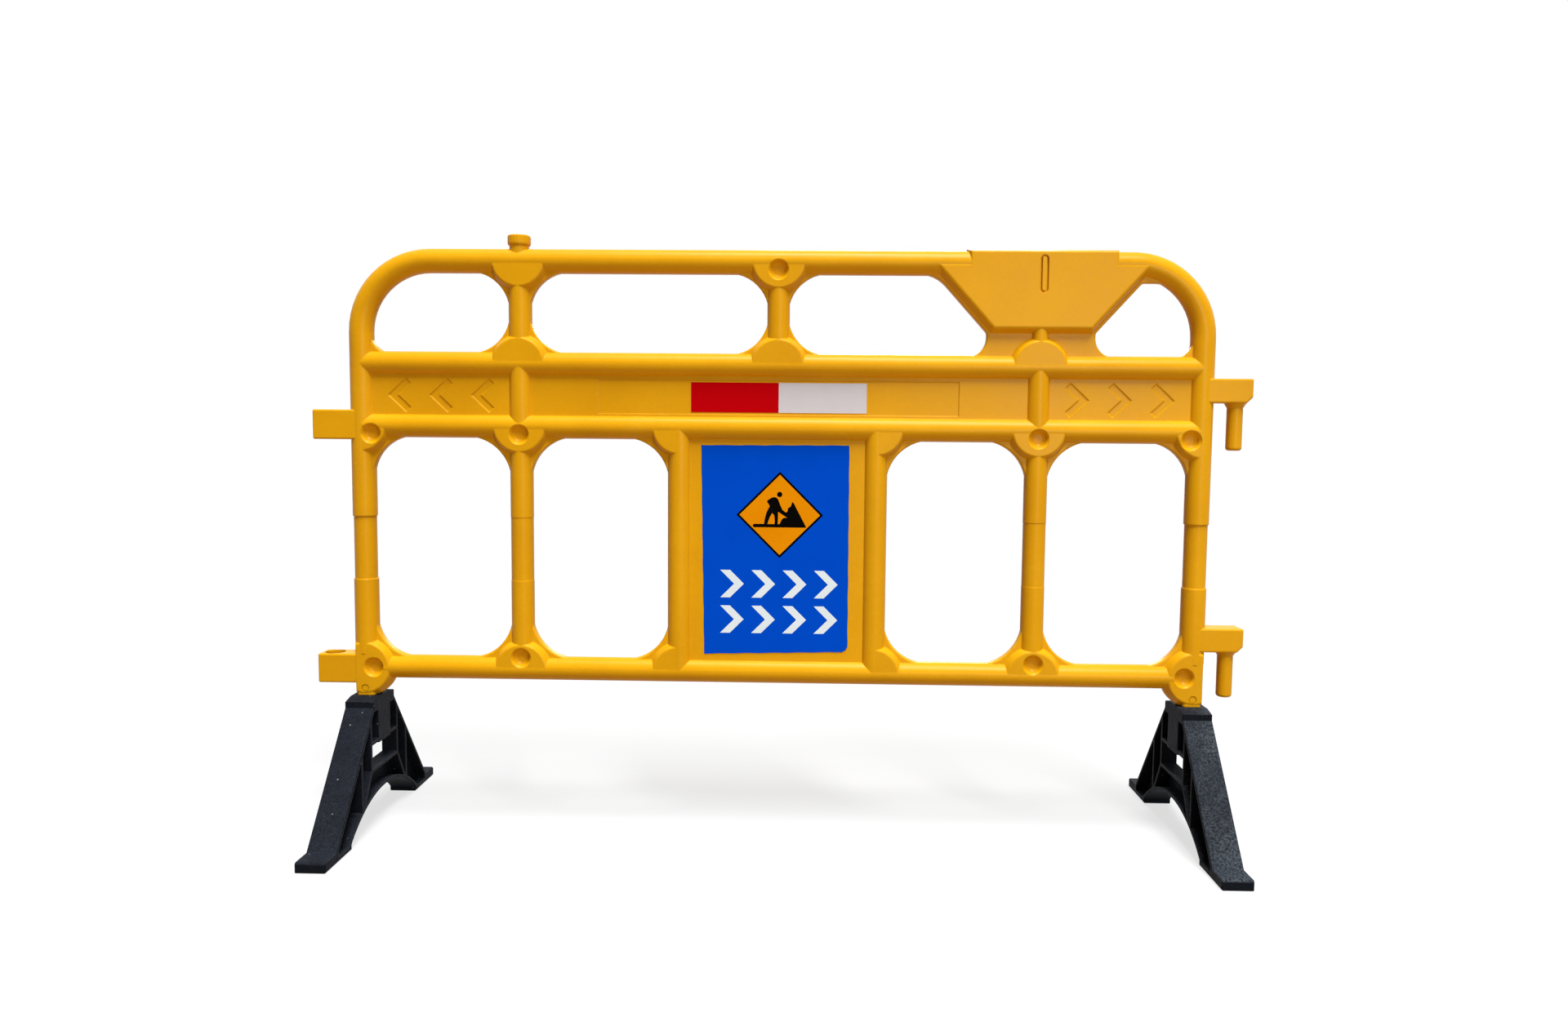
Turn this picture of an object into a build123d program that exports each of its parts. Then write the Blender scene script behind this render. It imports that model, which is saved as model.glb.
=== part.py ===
from build123d import *
import os
from math import atan, degrees, sqrt

# A road-works barrier: a hollow yellow frame that plugs into two black feet. Sizes are in millimetres.
# X runs along the barrier, Y from front to back and Z up. The origin is on the ground, at the middle.

# Axes of the frame's tubes
POST_X = 718.0
UPRIGHT_X = 442.5
SIGN_RAIL_X = 168.7
TOP_RAIL_Z = 979.0
UPPER_RAIL_Z = 805.0
LOWER_RAIL_Z = 698.0
BOTTOM_RAIL_Z = 275.5
CORNER_RADIUS = 122.0

# Radii of the tubes: each joins a slightly larger one
POST_R = 20.6
RAIL_R = 20.4
SIGN_RAIL_R = 20.2
UPRIGHT_R = 19.7
SHORT_UPRIGHT_R = 19.2
STUB_HALF_X = 13.0
STUB_HALF_Y = 19.6
POST_END_Z = 300.0

# Reflector recess round the posts and uprights
SLEEVE_Z0 = 431.0
SLEEVE_Z1 = 541.0
POST_SLEEVE_DEPTH = 1.6
UPRIGHT_SLEEVE_DEPTH = 0.4

# Moulding: wall, and the flat web that fills panels and corners
WALL = 3.5
WEB_HALF = 8.0
BURIED_MARGIN = 0.8
CORNER_WEB_R = 76.0
POST_CORNER_R = 72.0
SMALL_CORNER_R = 32.0
WEB_CORNER_R = 1.0
WEB_EDGE_R = 3.0
ROUND_END_GAP = 0.5

# Flat bosses on the tube joints, and the dimples in them
BOSS_HALF = 20.0
BOSS_FACE_R = 44.0
BOSS_BASE_R = 52.5
BOSS_BASE_HALF = 5.0
BOSS_EDGE_R = 4.0
DIMPLE_MOUTH_R = 17.5
DIMPLE_LIP_R = 14.5
DIMPLE_WAIST_R = 12.5
DIMPLE_FLOOR_R = 8.5
DIMPLE_LIP_DEPTH = 3.2
DIMPLE_WAIST_DEPTH = 7.0
DIMPLE_DEPTH = 10.0
DIMPLE_OFFSET = 14.0
DIMPLE_WALL = 3.0
BOTTOM_DIMPLE_OFFSET = 21.0
POST_DIMPLE_INSET = 20.0
END_DIMPLE_INSET = 17.0
END_DIMPLE_RISE = 1.5

# Name plate at the right of the top rail
PLATE_X = 444.5
PLATE_HALF_TOP = 196.2
PLATE_HALF_FOOT = 87.2
PLATE_SHOULDER_RISE = 9.0
PLATE_FOOT_Z = 858.0
PLATE_HALF = 20.9
PLATE_DRAFT = 12.0
PLATE_EDGE_R = 6.0
CREST_HALF = 127.5
CREST_Z = 1003.0
CREST_ROOT_Z = 940.0
CREST_DRAFT = 5.0
CREST_EDGE_R = 3.0
GROOVE_SPAN = 13.5
GROOVE_Z0 = 929.0
GROOVE_Z1 = 991.5
GROOVE_WIDTH = 3.0
GROOVE_DEPTH = 4.0
NECK_WEB_HALF = 91.5
NECK_WEB_R = 8.0
PLATE_CORNER_R = 60.0
RIGHT_WINDOW_DROP = 31.5
RIGHT_WINDOW_POST_R = 66.0
RIGHT_WINDOW_PLATE_R = 12.0

# Linking sockets on the left and hooks on the right
LINK_LEVELS = (699.0, 274.0)
LINK_X = 776.0
LINK_END_X = 799.0
LINK_HALF = 19.5
SOCKET_HALF_HEIGHT = 25.5
SOCKET_BORE_R = 17.0
HOOK_ABOVE_LEVEL = 48.5
HOOK_HEIGHT = 41.0
HOOK_CHAMFER = 10.0
PIN_R = 13.0
PIN_BELOW_LEVEL = 31.5
PIN_TIP_R = 5.0
PIN_ROOT_R = 18.5
PIN_ROOT_LENGTH = 9.0
PIN_ROOT_LAP = 1.0
LINK_EDGE_R = 3.0

# Lower ends of the posts: a flat lug that stands on the foot and a spigot inside it
LUG_X0 = 700.0
LUG_X1 = 732.0
LUG_HALF = 19.2
LUG_EDGE_R = 6.0
LUG_TOP_Z = 305.0
LUG_Z = 227.4
SPIGOT_HALF_X = 15.0
SPIGOT_HALF_Y = 18.5
SPIGOT_Z = 150.4
SPIGOT_ROOT = 20.0
SPIGOT_EDGE_R = 4.0

# Drain at the foot of each post
DRAIN_X = 716.5
DRAIN_Z = 239.5
DRAIN_BORE_R = 4.4
DRAIN_SINK_R = 6.4
DRAIN_SINK_DEPTH = 3.0
DRAIN_PAD_R = 10.0
DRAIN_PAD_DEPTH = 8.0
DRAIN_HEAD_R = 6.0
DRAIN_HEAD_DEPTH = 1.2
DRAIN_FACE_GAP = 0.7
DRAIN_SHANK_R = 4.0
DRAIN_SHANK_LENGTH = 9.0
DRAIN_SEAL_GAP = 0.4
SEAL_FIT = 0.1

# Fill neck on the top rail and its screw cap
NECK_X = -443.5
NECK_R = 16.5
NECK_TOP_Z = 1008.0
NECK_BORE_R = 12.4
CAP_R = 19.5
CAP_HEIGHT = 12.0
CAP_SEAT_GAP = 0.4
CAP_EDGE_R = 2.5
CAP_SHANK_R = 11.9
CAP_SHANK_LENGTH = 14.5
GASKET_THICKNESS = 1.4
GASKET_INNER_R = 12.5
GASKET_OUTER_R = 15.5

# Band between the two middle rails
BAND_Z = 750.5
TAPE_HALF_LENGTH = 308.0
TAPE_RECESS_HEIGHT = 58.0
TAPE_RECESS_DEPTH = 1.0
ARROW_TIPS = (528.0, 600.0, 672.0)
ARROW_HALF_HEIGHT = 30.0
ARROW_REACH = 32.0
ARROW_ARM = 19.0
ARROW_DEPTH = 1.6
ARROW_DRAFT = 45.0

# Sheets stuck on the front
REFLECTOR_LENGTH = 150.0
REFLECTOR_HEIGHT = 51.0
REFLECTOR_THICKNESS = 0.6
REFLECTOR_CENTRE_X = 1.5
SIGN_CORNERS = ((-130.7, 669.2), (123.5, 670.7), (124.4, 312.6), (-124.7, 306.6))
SIGN_THICKNESS = 1.0

# Feet
FOOT_X = 716.5
FOOT_WIDTH = 50.0
FOOT_HALF_LENGTH = 238.0
FOOT_TOP_Z = 227.0
FOOT_RIM_Z = 222.0
FOOT_SHOULDER_Z = 211.0
FOOT_RIM_Y = 24.0
FOOT_SHOULDER_Y = 46.0
FOOT_SLOPE_END_Y = 198.0
TOE_HEIGHT = 17.0
TOE_EDGE_R = 5.0
FOOT_EDGE_R = 2.5
TOE_INNER_Y = 142.0
ARCH_SPRING_Z = 8.0
ARCH_CROWN_Z = 62.0
FLANGE = 6.0
FOOT_WEB = 5.0
RIB = 5.0
SOCKET_WALL_HALF_Y = 25.0
SOCKET_FLOOR_Z = 150.0
SOCKET_BASE_Z = 145.0
COLLAR_BASE_Z = 204.0
INNER_RIB_Y = 56.0
OUTER_RIB_Y = 96.0
LEDGE_Z = 150.0
CELL_FLOOR_Z = 103.0
BRACE_FOOT_Y = 90.0
BRACE_FOOT_Z = 47.0
SLIDING_GAP = 0.4
OVERCUT = 1.0


def tube_along_x(x0, x1, z, radius):
    return Pos((x0 + x1) / 2, 0, z) * Rot(0, 90, 0) * Cylinder(radius, x1 - x0)


def tube_along_z(x, z0, z1, radius):
    return Pos(x, 0, (z0 + z1) / 2) * Cylinder(radius, z1 - z0)


def plate_in_front(outline, y0, y1):
    """An outline drawn in X and Z, made solid from y0 to y1."""
    return Pos(0, y0, 0) * extrude(Plane.XZ * outline, amount=y1 - y0, dir=(0, 1, 0))


def both_faces(solid):
    return [solid, mirror(solid, Plane.XZ)]


def both_ends(solid):
    return [solid, mirror(solid, Plane.YZ)]


def hoop(inset):
    """The two posts and the top rail, bent from one tube."""
    end_z = POST_END_Z + inset
    route = FilletPolyline(
        (-POST_X, 0, end_z),
        (-POST_X, 0, TOP_RAIL_Z),
        (POST_X, 0, TOP_RAIL_Z),
        (POST_X, 0, end_z),
        radius=CORNER_RADIUS,
    )
    section = Plane(origin=route @ 0, z_dir=route % 0) * Circle(POST_R - inset)
    return sweep(section, path=route)


def stub(inset):
    """The flattened tube between the name plate and the boss under it."""
    section = Rot(0, 0, 90) * SlotOverall(2 * (STUB_HALF_Y - inset), 2 * (STUB_HALF_X - inset))
    height = PLATE_FOOT_Z + PLATE_DRAFT - UPPER_RAIL_Z
    return Pos(UPRIGHT_X, 0, UPPER_RAIL_Z) * extrude(section, amount=height)


def straight_tubes(inset):
    tubes = []
    for rail_z in (UPPER_RAIL_Z, LOWER_RAIL_Z, BOTTOM_RAIL_Z):
        tubes.append(tube_along_x(-POST_X, POST_X, rail_z, RAIL_R - inset))
    tubes.append(tube_along_z(-UPRIGHT_X, BOTTOM_RAIL_Z, TOP_RAIL_Z, UPRIGHT_R - inset))
    tubes.append(tube_along_z(UPRIGHT_X, BOTTOM_RAIL_Z, UPPER_RAIL_Z, UPRIGHT_R - inset))
    tubes.append(stub(inset))
    tubes.append(tube_along_z(0, UPPER_RAIL_Z, TOP_RAIL_Z, SHORT_UPRIGHT_R - inset))
    for side in (-1, 1):
        tubes.append(tube_along_z(side * SIGN_RAIL_X, BOTTOM_RAIL_Z, LOWER_RAIL_Z, SIGN_RAIL_R - inset))
    return tubes


def sleeve_recesses(inset):
    """Rings cut from the posts and uprights where reflective sleeves can be wrapped."""
    rings = []
    tubes = ((POST_X, POST_R, POST_SLEEVE_DEPTH), (UPRIGHT_X, UPRIGHT_R, UPRIGHT_SLEEVE_DEPTH))
    for x, radius, depth in tubes:
        floor = Cylinder(radius - depth - inset, SLEEVE_Z1 - SLEEVE_Z0)
        ring = Cylinder(radius + depth, SLEEVE_Z1 - SLEEVE_Z0) - floor
        for side in (-1, 1):
            rings.append(Pos(side * x, 0, (SLEEVE_Z0 + SLEEVE_Z1) / 2) * ring)
    return rings


def buried(radius):
    """How far from a tube's axis the web's edge lies, so that it stays inside the tube."""
    return sqrt(radius ** 2 - WEB_HALF ** 2) - BURIED_MARGIN


def rounded_polygon(points, radii):
    """A polygon with its own radius at each corner."""
    outline = Polygon(*points, align=None)
    for point, radius in zip(points, radii):
        corner = outline.vertices().sort_by_distance((*point, 0))[0]
        outline = fillet(corner, radius)
    return outline


def rounded_window(x0, x1, z0, z1, lower_left, lower_right, upper_right, upper_left):
    points = ((x0, z0), (x1, z0), (x1, z1), (x0, z1))
    return rounded_polygon(points, (lower_left, lower_right, upper_right, upper_left))


def lower_windows():
    z0 = BOTTOM_RAIL_Z + buried(RAIL_R)
    z1 = LOWER_RAIL_Z - buried(RAIL_R)
    outer = (UPRIGHT_X + buried(UPRIGHT_R), POST_X - buried(POST_R))
    inner = (SIGN_RAIL_X + buried(SIGN_RAIL_R), UPRIGHT_X - buried(UPRIGHT_R))
    windows = []
    for (x0, x1), outer_r in ((outer, POST_CORNER_R), (inner, CORNER_WEB_R)):
        window = rounded_window(x0, x1, z0, z1, CORNER_WEB_R, outer_r, outer_r, CORNER_WEB_R)
        windows += both_ends(window)
    return windows


def plate_slope():
    """How steeply the name plate's sides rise."""
    return (TOP_RAIL_Z - PLATE_FOOT_Z) / (PLATE_HALF_TOP - PLATE_HALF_FOOT)


def upper_windows():
    z0 = UPPER_RAIL_Z + buried(RAIL_R)
    z1 = TOP_RAIL_Z - buried(POST_R)
    end_radius = (z1 - z0) / 2 - ROUND_END_GAP
    hoop_radius = CORNER_RADIUS - buried(POST_R)
    left_end = rounded_window(
        -POST_X + buried(POST_R), -UPRIGHT_X - buried(UPRIGHT_R), z0, z1,
        SMALL_CORNER_R, end_radius, end_radius, hoop_radius,
    )
    middle = rounded_window(
        -UPRIGHT_X + buried(UPRIGHT_R), -buried(SHORT_UPRIGHT_R), z0, z1, *[end_radius] * 4,
    )
    slope = plate_slope()
    neck_z = TOP_RAIL_Z - (PLATE_HALF_TOP - NECK_WEB_HALF) * slope
    beside_plate = rounded_polygon(
        (
            (buried(SHORT_UPRIGHT_R), z0),
            (PLATE_X - NECK_WEB_HALF, z0),
            (PLATE_X - NECK_WEB_HALF, neck_z),
            (PLATE_X - PLATE_HALF_TOP + (TOP_RAIL_Z - z1) / slope, z1),
            (buried(SHORT_UPRIGHT_R), z1),
        ),
        (end_radius, SMALL_CORNER_R, NECK_WEB_R, PLATE_CORNER_R, end_radius),
    )
    corner_top = TOP_RAIL_Z - RIGHT_WINDOW_DROP
    right_end = rounded_polygon(
        (
            (PLATE_X + NECK_WEB_HALF, z0),
            (POST_X - buried(POST_R), z0),
            (POST_X - buried(POST_R), corner_top),
            (PLATE_X + PLATE_HALF_TOP - RIGHT_WINDOW_DROP / slope, corner_top),
            (PLATE_X + NECK_WEB_HALF, neck_z),
        ),
        (SMALL_CORNER_R, SMALL_CORNER_R, RIGHT_WINDOW_POST_R, RIGHT_WINDOW_PLATE_R, NECK_WEB_R),
    )
    return [left_end, middle, beside_plate, right_end]


def web(inset):
    """The flat sheet between the tubes, with the windows left open."""
    outline = rounded_polygon(
        ((-POST_X, BOTTOM_RAIL_Z), (POST_X, BOTTOM_RAIL_Z), (POST_X, TOP_RAIL_Z), (-POST_X, TOP_RAIL_Z)),
        (WEB_CORNER_R, WEB_CORNER_R, CORNER_RADIUS, CORNER_RADIUS),
    )
    for window in lower_windows() + upper_windows():
        outline -= offset(window, amount=inset) if inset else window
    plate = plate_in_front(outline, inset - WEB_HALF, WEB_HALF - inset)
    if inset:
        return plate
    return fillet(plate.edges().filter_by(Axis.Y, reverse=True), WEB_EDGE_R)


def boss(x, z, turn, spread, inset):
    """A drafted flat boss round a tube joint, spread degrees wide, turned about Y from +X towards -Z."""
    half = BOSS_HALF - inset
    base_half = BOSS_BASE_HALF - inset
    face_r = BOSS_FACE_R - inset
    base_r = BOSS_BASE_R - inset
    profile = Polygon(
        (0, -half), (face_r, -half), (base_r, -base_half), (base_r, base_half), (face_r, half), (0, half),
        align=None,
    )
    if not inset:
        rim = [corner for corner in profile.vertices() if corner.X > BOSS_EDGE_R]
        profile = fillet(rim, BOSS_EDGE_R)
    return Pos(x, 0, z) * Rot(0, turn, 0) * revolve(profile, Axis.Y, spread)


def bosses(inset):
    below = 0
    above = 180
    solids = []
    for x in (-UPRIGHT_X, 0):
        solids.append(boss(x, TOP_RAIL_Z, below, 180, inset))
    for x in (-UPRIGHT_X, 0, UPRIGHT_X):
        solids.append(boss(x, UPPER_RAIL_Z, above, 180, inset))
    for x in (-UPRIGHT_X, UPRIGHT_X):
        solids.append(boss(x, LOWER_RAIL_Z, below, 180, inset))
        solids.append(boss(x, BOTTOM_RAIL_Z, above, 180, inset))
    solids += both_ends(boss(SIGN_RAIL_X, LOWER_RAIL_Z, 0, 90, inset))
    solids += both_ends(boss(SIGN_RAIL_X, BOTTOM_RAIL_Z, 270, 90, inset))
    solids += both_ends(boss(POST_X, LOWER_RAIL_Z, 90, 90, inset))
    corner = boss(POST_X, BOTTOM_RAIL_Z, 0, 360, inset)
    block = Box(*[2 * BOSS_BASE_R] * 3)
    beyond_post = Pos(LUG_X1 - inset + BOSS_BASE_R, 0, BOTTOM_RAIL_Z) * block
    below_lug = Pos(POST_X, 0, LUG_Z + inset - BOSS_BASE_R) * block
    solids += both_ends(corner - beyond_post - below_lug)
    return solids


def dimple_places():
    end_x = POST_X - END_DIMPLE_INSET
    post_x = POST_X - POST_DIMPLE_INSET
    places = [(0, TOP_RAIL_Z - DIMPLE_OFFSET)]
    for side in (-1, 1):
        places.append((side * UPRIGHT_X, LOWER_RAIL_Z - DIMPLE_OFFSET))
        places.append((side * UPRIGHT_X, BOTTOM_RAIL_Z + BOTTOM_DIMPLE_OFFSET))
        places.append((side * post_x, LOWER_RAIL_Z - DIMPLE_OFFSET))
        places.append((side * end_x, BOTTOM_RAIL_Z + END_DIMPLE_RISE))
    return places


def dimples(grow):
    """Round bowls pressed in from both faces, or the room they take in the hollow when grown by their wall."""
    mouth = BOSS_HALF + POST_R
    floor = BOSS_HALF - DIMPLE_DEPTH - grow
    profile = Polygon(
        (0, floor),
        (DIMPLE_FLOOR_R + grow, floor),
        (DIMPLE_WAIST_R + grow, BOSS_HALF - DIMPLE_WAIST_DEPTH),
        (DIMPLE_LIP_R + grow, BOSS_HALF - DIMPLE_LIP_DEPTH),
        (DIMPLE_MOUTH_R + grow, BOSS_HALF),
        (DIMPLE_MOUTH_R + grow, mouth),
        (0, mouth),
        align=None,
    )
    back = revolve(profile, Axis.Y, 360)
    solids = []
    for x, z in dimple_places():
        solids += [Pos(x, 0, z) * face for face in both_faces(back)]
    return solids


def drafted_block(outline, draft, edge_radius, inset):
    """An outline drawn in X and Z, raised to both faces of the name plate and narrower towards them."""
    if inset:
        outline = offset(outline, amount=-inset, kind=Kind.INTERSECTION)
    slope = degrees(atan(draft / PLATE_HALF))
    back = extrude(Plane.XZ * outline, amount=-(PLATE_HALF - inset), taper=slope)
    if not inset:
        back = fillet(back.faces().sort_by(Axis.Y)[-1].edges(), edge_radius)
    return both_faces(back)


def name_plate(inset):
    """A flat block that runs over the top rail's faces, and the square crest above it."""
    shoulder_z = TOP_RAIL_Z + PLATE_SHOULDER_RISE
    half_shoulder = PLATE_HALF_TOP + PLATE_SHOULDER_RISE / plate_slope()
    body = Polygon(
        (-half_shoulder, shoulder_z), (-PLATE_HALF_FOOT, PLATE_FOOT_Z),
        (PLATE_HALF_FOOT, PLATE_FOOT_Z), (half_shoulder, shoulder_z),
        align=None,
    )
    crest = Pos(0, (CREST_Z + CREST_ROOT_Z) / 2) * Rectangle(2 * CREST_HALF, CREST_Z - CREST_ROOT_Z)
    return [
        *drafted_block(Pos(PLATE_X, 0) * body, PLATE_DRAFT, PLATE_EDGE_R, inset),
        *drafted_block(Pos(PLATE_X, 0) * crest, CREST_DRAFT, CREST_EDGE_R, inset),
    ]


def lug(side, inset):
    """The flat end of a post, and the spigot under it."""
    width = LUG_X1 - LUG_X0 - 2 * inset
    middle = side * (LUG_X0 + LUG_X1) / 2
    block = Box(width, 2 * (LUG_HALF - inset), LUG_TOP_Z - LUG_Z - inset)
    block = fillet(block.edges().filter_by(Axis.Z), LUG_EDGE_R - inset)
    spigot_top = LUG_Z + SPIGOT_ROOT
    spigot_z = SPIGOT_Z + inset
    spigot = Box(2 * (SPIGOT_HALF_X - inset), 2 * (SPIGOT_HALF_Y - inset), spigot_top - spigot_z)
    spigot = fillet(spigot.edges().filter_by(Axis.Z), SPIGOT_EDGE_R - inset)
    return [
        Pos(middle, 0, (LUG_TOP_Z + LUG_Z + inset) / 2) * block,
        Pos(side * FOOT_X, 0, (spigot_top + spigot_z) / 2) * spigot,
    ]


def sockets():
    """The two blocks on the left that take the next barrier's pins."""
    blocks = []
    for level in LINK_LEVELS:
        block = Pos((LINK_END_X + POST_X) / 2, 0, 0) * Box(
            LINK_END_X - POST_X, 2 * LINK_HALF, 2 * SOCKET_HALF_HEIGHT)
        block = fillet(block.edges().sort_by(Axis.X)[4:], LINK_EDGE_R)
        blocks.append(Pos(0, 0, level) * mirror(block, Plane.YZ))
    return blocks


def socket_bores():
    bore = Cylinder(SOCKET_BORE_R, 2 * (SOCKET_HALF_HEIGHT + OVERCUT))
    return [Pos(-LINK_X, 0, level) * bore for level in LINK_LEVELS]


def hooks():
    """The two arms on the right, each with a pin that hangs from it."""
    arm_top = HOOK_ABOVE_LEVEL + HOOK_HEIGHT
    outline = Polygon(
        (POST_X, HOOK_ABOVE_LEVEL), (LINK_END_X - HOOK_CHAMFER, HOOK_ABOVE_LEVEL),
        (LINK_END_X, HOOK_ABOVE_LEVEL + HOOK_CHAMFER), (LINK_END_X, arm_top), (POST_X, arm_top),
        align=None,
    )
    arm = plate_in_front(outline, -LINK_HALF, LINK_HALF)
    arm = fillet(arm.edges().sort_by(Axis.X)[4:], LINK_EDGE_R)
    length = HOOK_ABOVE_LEVEL + HOOK_HEIGHT / 2 + PIN_BELOW_LEVEL
    pin = Cylinder(PIN_R, length, align=(Align.CENTER, Align.CENTER, Align.MIN))
    pin = fillet(pin.edges().filter_by(GeomType.CIRCLE).sort_by(Axis.Z)[0], PIN_TIP_R)
    root = Cone(PIN_R, PIN_ROOT_R, PIN_ROOT_LENGTH, align=(Align.CENTER, Align.CENTER, Align.MAX))
    solids = []
    for level in LINK_LEVELS:
        solids.append(Pos(0, 0, level) * arm)
        solids.append(Pos(LINK_X, 0, level - PIN_BELOW_LEVEL) * pin)
        solids.append(Pos(LINK_X, 0, level + HOOK_ABOVE_LEVEL + PIN_ROOT_LAP) * root)
    return solids


def arrow_outline(tip):
    """An arrowhead with square-ended arms, drawn in X and Z about the middle of the band."""
    share = 1 - ARROW_ARM * ARROW_REACH / (ARROW_REACH ** 2 + ARROW_HALF_HEIGHT ** 2)
    outer_x = tip - ARROW_REACH
    inner_x = tip - ARROW_ARM - share * ARROW_REACH
    inner_z = share * ARROW_HALF_HEIGHT
    return Polygon(
        (tip, 0), (outer_x, ARROW_HALF_HEIGHT), (inner_x, inner_z),
        (tip - ARROW_ARM, 0), (inner_x, -inner_z), (outer_x, -ARROW_HALF_HEIGHT),
        align=None,
    )


def arrows():
    """Arrowheads sunk into the end panels of the band with sloping sides, pointing outwards."""
    solids = []
    for tip in ARROW_TIPS:
        arrow = extrude(Plane.XZ * arrow_outline(tip), amount=ARROW_DEPTH, taper=ARROW_DRAFT)
        for face in both_faces(Pos(0, WEB_HALF, BAND_Z) * arrow):
            solids += both_ends(face)
    return solids


def tape_recesses():
    recess = Box(2 * TAPE_HALF_LENGTH, 2 * TAPE_RECESS_DEPTH, TAPE_RECESS_HEIGHT)
    return both_faces(Pos(0, WEB_HALF, BAND_Z) * recess)


def slot_outline(inset):
    """A long round-ended outline on the name plate, drawn in X and Z."""
    outline = SlotOverall(GROOVE_Z1 - GROOVE_Z0 - 2 * inset, GROOVE_SPAN - 2 * inset)
    return Pos(PLATE_X, (GROOVE_Z0 + GROOVE_Z1) / 2) * Rot(0, 0, 90) * outline


def plate_grooves():
    """A narrow groove that runs round a long island, in each face of the name plate."""
    ring = slot_outline(0) - slot_outline(GROOVE_WIDTH)
    return both_faces(plate_in_front(ring, PLATE_HALF - GROOVE_DEPTH, PLATE_HALF + OVERCUT))


def groove_backs():
    """The thick walls behind the grooves, which the hollow goes round."""
    depth = GROOVE_DEPTH + WALL
    return both_faces(plate_in_front(slot_outline(-WALL), PLATE_HALF - depth, PLATE_HALF))


def drain_at(side, radius, y0, y1):
    """A round bar along Y at a post's drain."""
    return Pos(side * DRAIN_X, (y0 + y1) / 2, DRAIN_Z) * Rot(90, 0, 0) * Cylinder(radius, y1 - y0)


def frame():
    """The whole moulding: outer form, less the hollow inside and the recesses and holes."""
    neck = tube_along_z(NECK_X, TOP_RAIL_Z, NECK_TOP_Z, NECK_R)
    outside = hoop(0) + straight_tubes(0) + [web(0)] + bosses(0) + name_plate(0)
    outside = outside + sockets() + hooks() + lug(-1, 0) + lug(1, 0) + [neck]
    outside = outside - sleeve_recesses(0) - dimples(0)
    outside = outside - arrows() - tape_recesses() - plate_grooves() - socket_bores()
    hollow = hoop(WALL) + straight_tubes(WALL) + [web(WALL)] + bosses(WALL) + name_plate(WALL)
    hollow = hollow + lug(-1, WALL) + lug(1, WALL)
    hollow = hollow - sleeve_recesses(WALL) - dimples(DIMPLE_WALL) - groove_backs()
    for side in (-1, 1):
        hollow = hollow - drain_at(side, DRAIN_PAD_R, -BOSS_HALF, -BOSS_HALF + DRAIN_PAD_DEPTH)
    moulding = outside - hollow
    moulding = moulding - tube_along_z(NECK_X, TOP_RAIL_Z, NECK_TOP_Z + OVERCUT, NECK_BORE_R)
    front = -BOSS_HALF
    for side in (-1, 1):
        moulding = moulding - drain_at(side, DRAIN_BORE_R, front, front + DRAIN_PAD_DEPTH + OVERCUT)
        moulding = moulding - drain_at(side, DRAIN_SINK_R, front - OVERCUT, front + DRAIN_SINK_DEPTH)
    return moulding


def fill_cap():
    head_z = NECK_TOP_Z + GASKET_THICKNESS + 2 * CAP_SEAT_GAP
    head = Pos(0, 0, head_z) * Cylinder(CAP_R, CAP_HEIGHT, align=(Align.CENTER, Align.CENTER, Align.MIN))
    head = fillet(head.edges().filter_by(GeomType.CIRCLE), CAP_EDGE_R)
    shank = tube_along_z(0, head_z - CAP_SHANK_LENGTH, head_z + CAP_EDGE_R, CAP_SHANK_R)
    return Pos(NECK_X, 0, 0) * (head + shank)


def fill_cap_gasket():
    ring = Cylinder(GASKET_OUTER_R, GASKET_THICKNESS) - Cylinder(GASKET_INNER_R, GASKET_THICKNESS)
    return Pos(NECK_X, 0, NECK_TOP_Z + CAP_SEAT_GAP + GASKET_THICKNESS / 2) * ring


def drain_plug(side):
    face = -BOSS_HALF + DRAIN_FACE_GAP
    head = drain_at(side, DRAIN_HEAD_R, face, face + DRAIN_HEAD_DEPTH)
    return head + drain_at(side, DRAIN_SHANK_R, face, face + DRAIN_HEAD_DEPTH + DRAIN_SHANK_LENGTH)


def drain_seal(side):
    y0 = -BOSS_HALF + DRAIN_FACE_GAP + DRAIN_HEAD_DEPTH
    y1 = -BOSS_HALF + DRAIN_SINK_DEPTH - DRAIN_SEAL_GAP
    return drain_at(side, DRAIN_HEAD_R, y0, y1) - drain_at(side, DRAIN_SHANK_R + SEAL_FIT, y0, y1)


def foot_profile():
    """The foot's side outline, drawn in Y and Z."""
    slope = [
        (FOOT_RIM_Y, FOOT_TOP_Z), (FOOT_SHOULDER_Y, FOOT_RIM_Z), (FOOT_SHOULDER_Y, FOOT_SHOULDER_Z),
        (FOOT_SLOPE_END_Y, TOE_HEIGHT), (FOOT_HALF_LENGTH, TOE_HEIGHT), (FOOT_HALF_LENGTH, 0),
        (TOE_INNER_Y, 0), (TOE_INNER_Y, ARCH_SPRING_Z),
    ]
    other = [(-y, z) for y, z in reversed(slope)]
    edge = Polyline(*other, *slope)
    arch = ThreePointArc((-TOE_INNER_Y, ARCH_SPRING_Z), (0, ARCH_CROWN_Z), (TOE_INNER_Y, ARCH_SPRING_Z))
    outline = make_face([edge, arch])
    toes = []
    for corner in outline.vertices():
        if abs(corner.X) > FOOT_SLOPE_END_Y + TOE_EDGE_R and corner.Y > TOE_EDGE_R:
            toes.append(corner)
    return fillet(toes, TOE_EDGE_R)


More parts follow.
